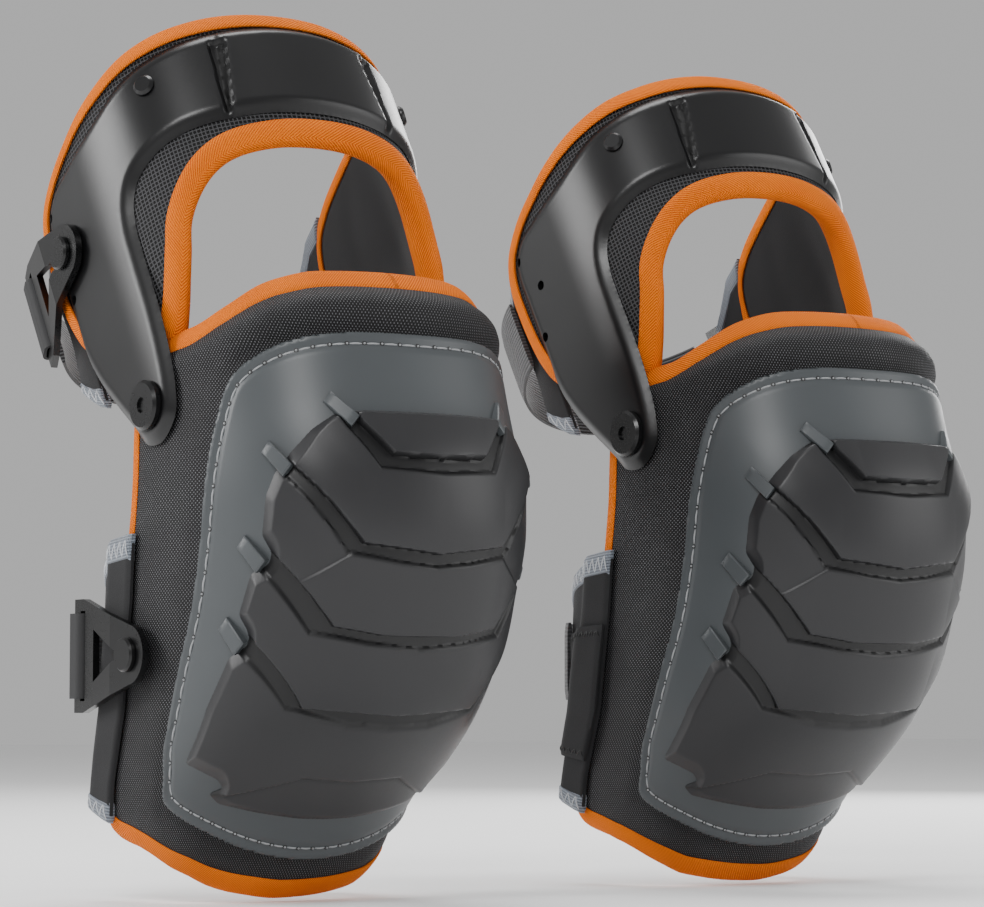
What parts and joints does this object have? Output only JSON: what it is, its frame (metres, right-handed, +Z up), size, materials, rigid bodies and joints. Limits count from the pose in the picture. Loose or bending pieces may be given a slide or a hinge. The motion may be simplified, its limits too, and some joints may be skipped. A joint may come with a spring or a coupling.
{
  "type": "hinged knee pads",
  "caption": "Pair of hinged knee pads with a moulded cap over a padded shell and an arched thigh guard held by hook straps.",
  "frame": {"origin": "midway between the two pads, on the line of their hinge rivets", "axes": "+X from the wearer's right pad to the left pad, -Y is the front the caps face, +Z up along the shins"},
  "size_m": [0.4238, 0.2491, 0.38],
  "materials": {
    "ballistic_fabric": "coarse woven nylon",
    "foam": "closed cell foam",
    "gel": "soft gel",
    "lining": "brushed neoprene",
    "orange_tape": "ribbed twill tape",
    "grey_cap": "satin moulded",
    "charcoal_armour": "satin moulded",
    "black_plastic": "satin moulded",
    "neoprene": "knit faced neoprene",
    "grey_tape": "ribbed elastic",
    "strap_elastic": "elastic webbing",
    "webbing": "woven webbing",
    "black_shell": "satin moulded",
    "mesh_fabric": "honeycomb mesh"
  },
  "bodies": {
    "right_pad": {"right_knee_cover": "ballistic_fabric", "right_knee_foam": "foam", "right_knee_gel": "gel", "right_knee_liner": "lining", "right_knee_binding": "orange_tape", "right_cap_base": "grey_cap", "right_cap_armour": "charcoal_armour", "right_cap_tabs": "grey_cap", "right_hinge_rivets": "black_plastic", "right_hinge_washers": "black_plastic", "right_calf_wings": "neoprene", "right_calf_wing_tapes": "grey_tape", "right_calf_strap": "strap_elastic", "right_calf_stud": "black_plastic"},
    "right_calf_clip": {"right_calf_hook": "black_plastic", "right_calf_strap_loop": "webbing"},
    "right_thigh": {"right_thigh_shell": "black_shell", "right_thigh_pad": "mesh_fabric", "right_thigh_liner": "lining", "right_thigh_outer_binding": "orange_tape", "right_thigh_inner_binding": "orange_tape", "right_thigh_rivets": "black_plastic", "right_thigh_wings": "neoprene", "right_thigh_wing_tapes": "grey_tape", "right_thigh_strap": "strap_elastic", "right_thigh_stud": "black_plastic"},
    "right_thigh_clip": {"right_thigh_hook": "black_plastic", "right_thigh_strap_loop": "webbing"},
    "left_pad": {"left_knee_cover": "ballistic_fabric", "left_knee_foam": "foam", "left_knee_gel": "gel", "left_knee_liner": "lining", "left_knee_binding": "orange_tape", "left_cap_base": "grey_cap", "left_cap_armour": "charcoal_armour", "left_cap_tabs": "grey_cap", "left_hinge_rivets": "black_plastic", "left_hinge_washers": "black_plastic", "left_calf_wings": "neoprene", "left_calf_wing_tapes": "grey_tape", "left_calf_strap": "strap_elastic", "left_calf_stud": "black_plastic"},
    "left_calf_clip": {"left_calf_hook": "black_plastic", "left_calf_strap_loop": "webbing"},
    "left_thigh": {"left_thigh_shell": "black_shell", "left_thigh_pad": "mesh_fabric", "left_thigh_liner": "lining", "left_thigh_outer_binding": "orange_tape", "left_thigh_inner_binding": "orange_tape", "left_thigh_rivets": "black_plastic", "left_thigh_wings": "neoprene", "left_thigh_wing_tapes": "grey_tape", "left_thigh_strap": "strap_elastic", "left_thigh_stud": "black_plastic"},
    "left_thigh_clip": {"left_thigh_hook": "black_plastic", "left_thigh_strap_loop": "webbing"}
  },
  "joints": [
    {"name": "right_thigh_hinge", "type": "hinge", "parent": "right_pad", "child": "right_thigh", "pos_m": [-0.126, 0, 0], "axis": [-1, 0, 0], "range_deg": [-6, 24]},
    {"name": "right_thigh_clip_turn", "type": "hinge", "parent": "right_thigh", "child": "right_thigh_clip", "pos_m": [-0.2078, 0.06555, 0.06954], "axis": [1, 0, 0], "range_deg": [-8.5, 8.5]},
    {"name": "right_calf_clip_turn", "type": "hinge", "parent": "right_pad", "child": "right_calf_clip", "pos_m": [-0.2031, 0.016, -0.102], "axis": [1, 0, 0], "range_deg": [-8.5, 8.5]},
    {"name": "left_pad_slide", "type": "slide", "parent": "right_pad", "child": "left_pad", "axis": [1, 0, 0], "range_m": [0, 0.05]},
    {"name": "left_thigh_hinge", "type": "hinge", "parent": "left_pad", "child": "left_thigh", "pos_m": [0.126, 0, 0], "axis": [-1, 0, 0], "range_deg": [-6, 24]},
    {"name": "left_thigh_clip_turn", "type": "hinge", "parent": "left_thigh", "child": "left_thigh_clip", "pos_m": [0.2078, 0.06555, 0.06954], "axis": [1, 0, 0], "range_deg": [-8.5, 8.5]},
    {"name": "left_calf_clip_turn", "type": "hinge", "parent": "left_pad", "child": "left_calf_clip", "pos_m": [0.2031, 0.016, -0.102], "axis": [1, 0, 0], "range_deg": [-8.5, 8.5]}
  ]
}
